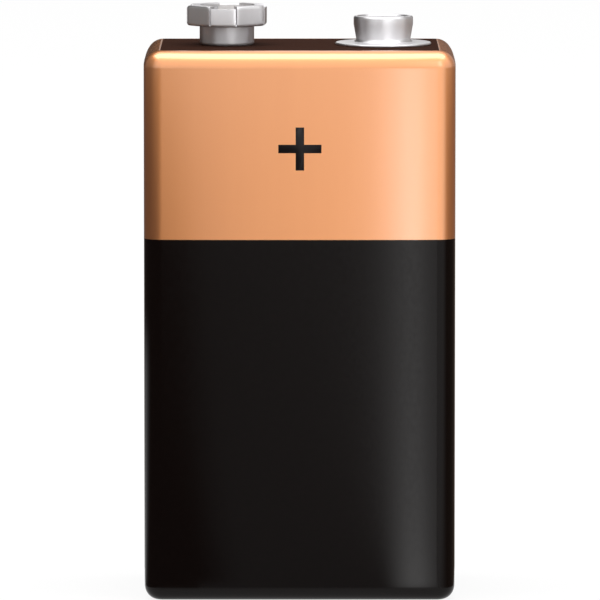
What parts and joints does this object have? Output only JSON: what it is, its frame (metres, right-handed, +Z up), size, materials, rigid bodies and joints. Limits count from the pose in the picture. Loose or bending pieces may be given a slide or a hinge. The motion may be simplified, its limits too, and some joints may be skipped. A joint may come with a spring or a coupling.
{
  "type": "nine volt battery",
  "caption": "Rectangular battery with a copper and black steel jacket, a dark top plate, and a crown socket and snap stud for a clip-on connector.",
  "frame": {"origin": "centre of the underside, on the surface that the battery stands on", "axes": "+Z up along the battery, +X across its width towards the snap stud, -Y out of the front"},
  "size_m": [0.0256, 0.0168, 0.0485],
  "materials": {
    "printed_steel": "satin copper lacquer over a gloss black field",
    "board": "dark brown-black moulding",
    "terminal_steel": "bright nickel-plated steel",
    "eyelet_brass": "plain",
    "nickel": "rolled nickel strip",
    "cell_can": "drawn nickel-plated steel",
    "kraft_paper": "uncoated",
    "white_card": "pressed board",
    "pad_foam": "closed-cell foam"
  },
  "bodies": {
    "root": {"jacket": "printed_steel", "liner": "kraft_paper", "base_plate": "board", "bottom_pad": "pad_foam", "bottom_card": "white_card", "bottom_strap_1": "nickel", "bottom_strap_2": "nickel", "bottom_strap_3": "nickel", "cell_1": "cell_can", "cell_2": "cell_can", "cell_3": "cell_can", "cell_4": "cell_can", "cell_5": "cell_can", "cell_6": "cell_can", "top_card": "white_card", "top_strap_1": "nickel", "top_strap_2": "nickel", "negative_lead": "nickel", "positive_lead": "nickel", "top_pad": "pad_foam", "top_plate": "board", "negative_eyelet": "eyelet_brass", "positive_eyelet": "eyelet_brass", "crown_socket": "terminal_steel", "snap_stud": "terminal_steel"}
  },
  "joints": []
}
